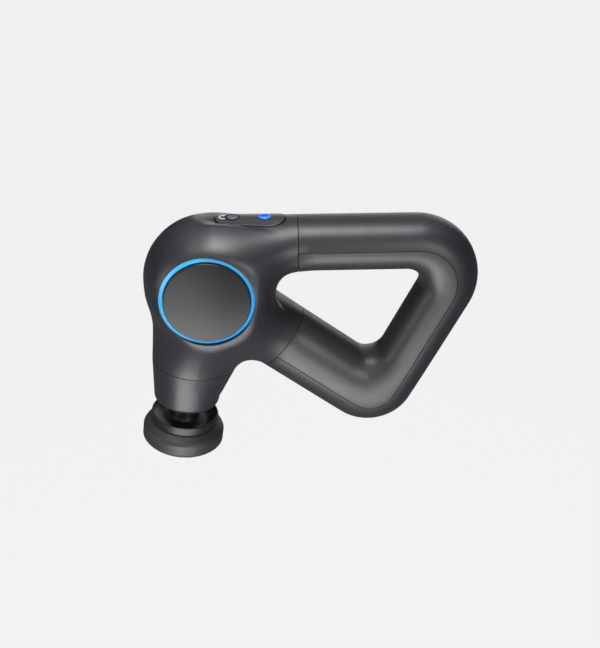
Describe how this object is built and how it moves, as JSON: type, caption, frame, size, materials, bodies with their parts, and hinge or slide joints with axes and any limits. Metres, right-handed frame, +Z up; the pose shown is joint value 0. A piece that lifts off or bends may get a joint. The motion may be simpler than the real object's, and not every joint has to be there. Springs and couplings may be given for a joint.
{
  "type": "massage gun",
  "caption": "Percussion massage gun with a triangular loop handle, a round head with a lit ring and gloss cover, a tapered nose and a pull-off flat massage head on a crank-driven plunger.",
  "frame": {"origin": "centre of the massage head's flat contact face, with the plunger at mid stroke", "axes": "+Z up as pictured, with the top bar of the handle level along +X; +X from the head towards the handle; +Y from the gloss cover towards the plain cover"},
  "size_m": [0.249, 0.0759, 0.1895],
  "materials": {
    "graphite": "satin graphite moulding",
    "soft_black": "fine matt black moulding",
    "gloss_black": "polished black",
    "blue_light": "translucent, lit blue from behind",
    "white_light": "translucent, lit white from behind",
    "foam": "closed-cell foam, smooth skin",
    "steel": "turned steel",
    "aluminium": "die cast, machined faces",
    "lamination": "varnished laminated steel and magnets",
    "copper": "enamelled copper wire",
    "bronze": "sintered bronze",
    "rubber": "moulded rubber and wire insulation",
    "circuit": "solder-masked circuit board",
    "cell_wrap": "shrink-wrapped cell",
    "white_plastic": "unpainted moulding"
  },
  "bodies": {
    "housing": {"head_housing": "graphite", "nose_collar": "graphite", "handle_inner_shell": "graphite", "handle_outer_shell": "soft_black", "control_panel": "soft_black", "disc_carrier": "soft_black", "rear_cover": "soft_black", "front_disc": "gloss_black", "light_ring": "blue_light", "status_light": "white_light", "handle_screw_1": "steel", "handle_screw_2": "steel", "rear_cover_screw_1": "steel", "rear_cover_screw_2": "steel", "rear_cover_screw_3": "steel", "motor_mount_screw_1": "steel", "motor_mount_screw_2": "steel", "motor_mount_screw_3": "steel", "motor_mount_screw_4": "steel", "bearing_crank_side": "steel", "bearing_cover_side": "steel", "charge_port": "steel", "motor_mount": "aluminium", "stator_core": "lamination", "winding_crank_side": "copper", "winding_cover_side": "copper", "guide_sleeve": "bronze", "power_switch": "rubber", "mode_switch": "rubber", "crown_vent": "rubber", "shaft_seal": "rubber", "battery_lead": "rubber", "button_board": "circuit", "led_board": "circuit", "controller_board": "circuit", "battery_board": "circuit", "port_board": "circuit", "battery_cell_1": "cell_wrap", "battery_cell_2": "cell_wrap", "battery_cell_3": "cell_wrap", "battery_cell_4": "cell_wrap", "guide_carrier": "white_plastic", "cell_holder_low": "white_plastic", "cell_holder_back": "white_plastic"},
    "crank": {"motor_shaft": "steel", "rotor_bell": "steel", "rotor_magnets": "lamination", "crank_disc": "steel", "crank_pin": "steel", "crank_roller": "steel"},
    "plunger": {"yoke": "aluminium", "plunger_shaft": "steel", "retaining_ring": "rubber"},
    "massage_head": {"massage_head_base": "soft_black", "massage_head_pad": "foam"},
    "power_button": {"power_button": "gloss_black"},
    "mode_button": {"mode_button": "blue_light"}
  },
  "joints": [
    {"name": "crank_spin", "type": "hinge", "parent": "housing", "child": "crank", "pos_m": [0.01817, 0, 0.13801], "axis": [0, 1, 0], "range_deg": [-90, 90]},
    {"name": "plunger_stroke", "type": "slide", "parent": "housing", "child": "plunger", "axis": [-0.1305, 0, -0.9914], "range_m": [-0.008, 0.008]},
    {"name": "massage_head_pull", "type": "slide", "parent": "plunger", "child": "massage_head", "axis": [-0.1305, 0, -0.9914], "range_m": [0, 0.03]},
    {"name": "power_button_press", "type": "slide", "parent": "housing", "child": "power_button", "axis": [0, 0, -1], "range_m": [0, 0.0006], "stiffness_N_per_m": 1500},
    {"name": "mode_button_press", "type": "slide", "parent": "housing", "child": "mode_button", "axis": [0, 0, -1], "range_m": [0, 0.0006], "stiffness_N_per_m": 1500}
  ],
  "couplings": [
    {"joint": "crank_spin", "follows": "plunger_stroke", "rad_per_m": 196.35}
  ]
}
